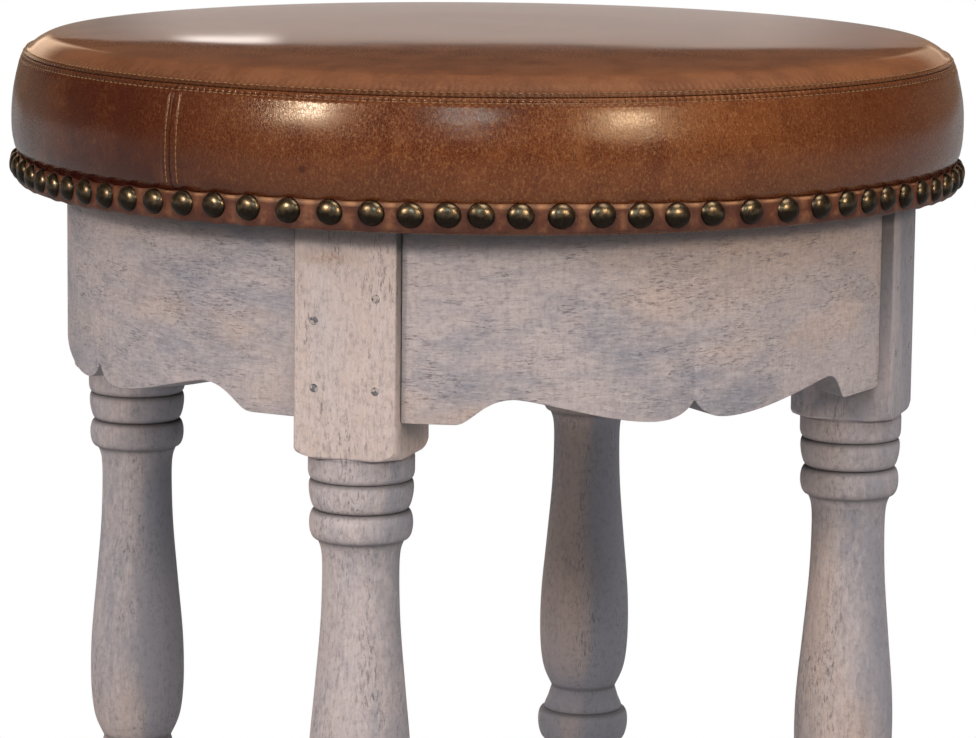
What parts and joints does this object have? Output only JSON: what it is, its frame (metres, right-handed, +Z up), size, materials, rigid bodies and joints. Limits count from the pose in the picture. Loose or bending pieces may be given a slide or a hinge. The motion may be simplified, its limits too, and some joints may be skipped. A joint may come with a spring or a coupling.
{
  "type": "upholstered footstool",
  "caption": "Round upholstered footstool: domed leather seat with a nailed rim, on curved scalloped aprons and turned legs with square tops.",
  "frame": {"origin": "on the floor, below the middle of the seat", "axes": "+Z up; the aprons face +X, -X, +Y and -Y, and the legs stand on the diagonals; -Y is called the front"},
  "size_m": [0.4984, 0.4983, 0.4981],
  "materials": {
    "leather": "gloss",
    "nail_strip": "satin",
    "nail_brass": "satin",
    "thread": "satin",
    "wadding": "matte",
    "foam": "matte",
    "plywood": "matte",
    "dust_cloth": "matte",
    "wood": "matte",
    "block_wood": "matte",
    "joint_pin": "matte",
    "screw_steel": "satin",
    "glide_plastic": "satin"
  },
  "bodies": {
    "root": {"leather_top": "leather", "boxing_front": "leather", "boxing_back": "leather", "nail_strip": "nail_strip", "wadding": "wadding", "foam_core": "foam", "seat_board": "plywood", "dust_cover": "dust_cloth", "apron_right": "wood", "apron_back": "wood", "apron_left": "wood", "apron_front": "wood", "leg_back_right": "wood", "corner_block_back_right": "block_wood", "pin_back_right_a1": "joint_pin", "pin_back_right_a2": "joint_pin", "corner_screw_back_right_a": "screw_steel", "pin_back_right_b1": "joint_pin", "pin_back_right_b2": "joint_pin", "corner_screw_back_right_b": "screw_steel", "seat_screw_back_right": "screw_steel", "glide_back_right": "glide_plastic", "leg_back_left": "wood", "corner_block_back_left": "block_wood", "pin_back_left_a1": "joint_pin", "pin_back_left_a2": "joint_pin", "corner_screw_back_left_a": "screw_steel", "pin_back_left_b1": "joint_pin", "pin_back_left_b2": "joint_pin", "corner_screw_back_left_b": "screw_steel", "seat_screw_back_left": "screw_steel", "glide_back_left": "glide_plastic", "leg_front_left": "wood", "corner_block_front_left": "block_wood", "pin_front_left_a1": "joint_pin", "pin_front_left_a2": "joint_pin", "corner_screw_front_left_a": "screw_steel", "pin_front_left_b1": "joint_pin", "pin_front_left_b2": "joint_pin", "corner_screw_front_left_b": "screw_steel", "seat_screw_front_left": "screw_steel", "glide_front_left": "glide_plastic", "leg_front_right": "wood", "corner_block_front_right": "block_wood", "pin_front_right_a1": "joint_pin", "pin_front_right_a2": "joint_pin", "corner_screw_front_right_a": "screw_steel", "pin_front_right_b1": "joint_pin", "pin_front_right_b2": "joint_pin", "corner_screw_front_right_b": "screw_steel", "seat_screw_front_right": "screw_steel", "glide_front_right": "glide_plastic"}
  },
  "joints": []
}
